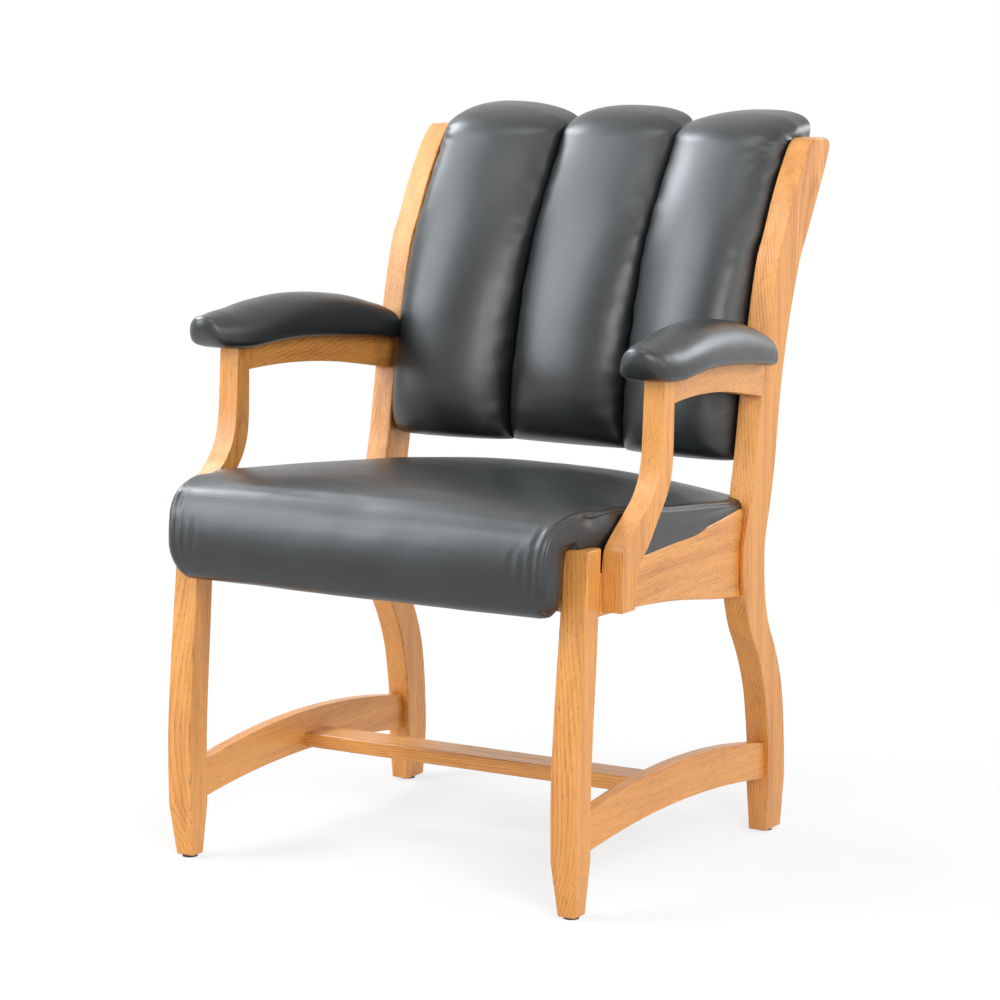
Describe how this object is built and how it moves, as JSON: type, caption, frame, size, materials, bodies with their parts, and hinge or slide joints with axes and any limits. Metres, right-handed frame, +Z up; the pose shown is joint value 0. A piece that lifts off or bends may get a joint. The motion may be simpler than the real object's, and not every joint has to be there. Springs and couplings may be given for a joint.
{
  "type": "upholstered armchair",
  "caption": "Wooden armchair with bandsawn legs, a padded seat with a deep front roll, a back of upright padded rolls and padded arms.",
  "frame": {"origin": "on the floor, under the middle of the chair's overall box", "axes": "+Z up; -Y towards the front of the chair, where a sitter's knees are; +X to the right of someone who faces the chair"},
  "size_m": [0.6898, 0.7094, 0.9123],
  "materials": {
    "oak": "satin lacquer",
    "oak_inside": "sawn, unfinished",
    "plywood": "raw plywood",
    "leather": "semi-gloss grained leather",
    "dust_cloth": "matt woven cloth",
    "screw_steel": "zinc plated",
    "glide_nylon": "matt"
  },
  "bodies": {
    "root": {"front_leg_left": "oak", "front_leg_right": "oak", "back_post_left": "oak", "back_post_right": "oak", "side_rail_left": "oak", "side_rail_right": "oak", "front_rail": "oak_inside", "rear_rail": "oak", "corner_block_front_left": "oak_inside", "corner_block_front_right": "oak_inside", "corner_block_rear_left": "oak_inside", "corner_block_rear_right": "oak_inside", "side_stretcher_left": "oak", "side_stretcher_right": "oak", "cross_stretcher": "oak", "arm_post_left": "oak", "arm_post_right": "oak", "arm_rail_left": "oak", "arm_rail_right": "oak", "arm_board_left": "plywood", "arm_board_right": "plywood", "arm_pad_left": "leather", "arm_pad_right": "leather", "seat_board": "plywood", "seat_cushion": "leather", "seat_dust_cover": "dust_cloth", "back_cleat_left": "oak_inside", "back_cleat_right": "oak_inside", "back_top_rail": "oak_inside", "back_low_rail": "oak_inside", "back_board": "plywood", "back_cushion": "leather", "back_cover": "leather", "corner_screws": "screw_steel", "seat_screws": "screw_steel", "arm_post_screws": "screw_steel", "arm_pad_screws": "screw_steel", "back_screws": "screw_steel", "arm_dowels": "oak_inside", "foot_glides": "glide_nylon"}
  },
  "joints": []
}
